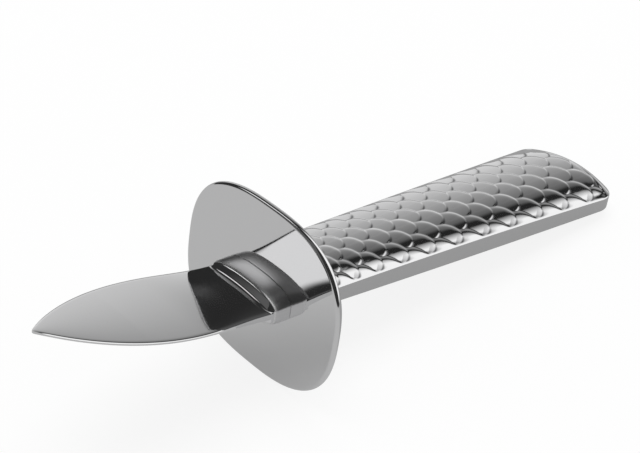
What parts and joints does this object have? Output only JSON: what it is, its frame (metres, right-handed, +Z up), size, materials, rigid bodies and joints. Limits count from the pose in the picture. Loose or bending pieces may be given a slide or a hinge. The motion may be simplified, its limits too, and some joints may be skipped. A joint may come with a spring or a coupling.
{
  "type": "oyster knife",
  "caption": "Oyster knife with an upswept leaf blade, a wide oval hand guard and a crowned, tapered metal handle covered in a fish-scale relief.",
  "frame": {"origin": "centre of the footprint, on the table that the knife rests on", "axes": "+X along the knife towards the handle's butt, +Y across the blade, +Z up; the knife lies on the bottom of its guard and the underside of its butt"},
  "size_m": [0.1564, 0.0488, 0.0391],
  "materials": {
    "polished_steel": "mirror-polished stainless steel",
    "handle_steel": "polished stainless steel with a pressed fish-scale relief",
    "handle_cement": "grey filling resin, hidden inside the handle"
  },
  "bodies": {
    "root": {"blade": "polished_steel", "guard": "polished_steel", "handle_upper_shell": "handle_steel", "handle_lower_shell": "handle_steel", "handle_core": "handle_cement"}
  },
  "joints": []
}
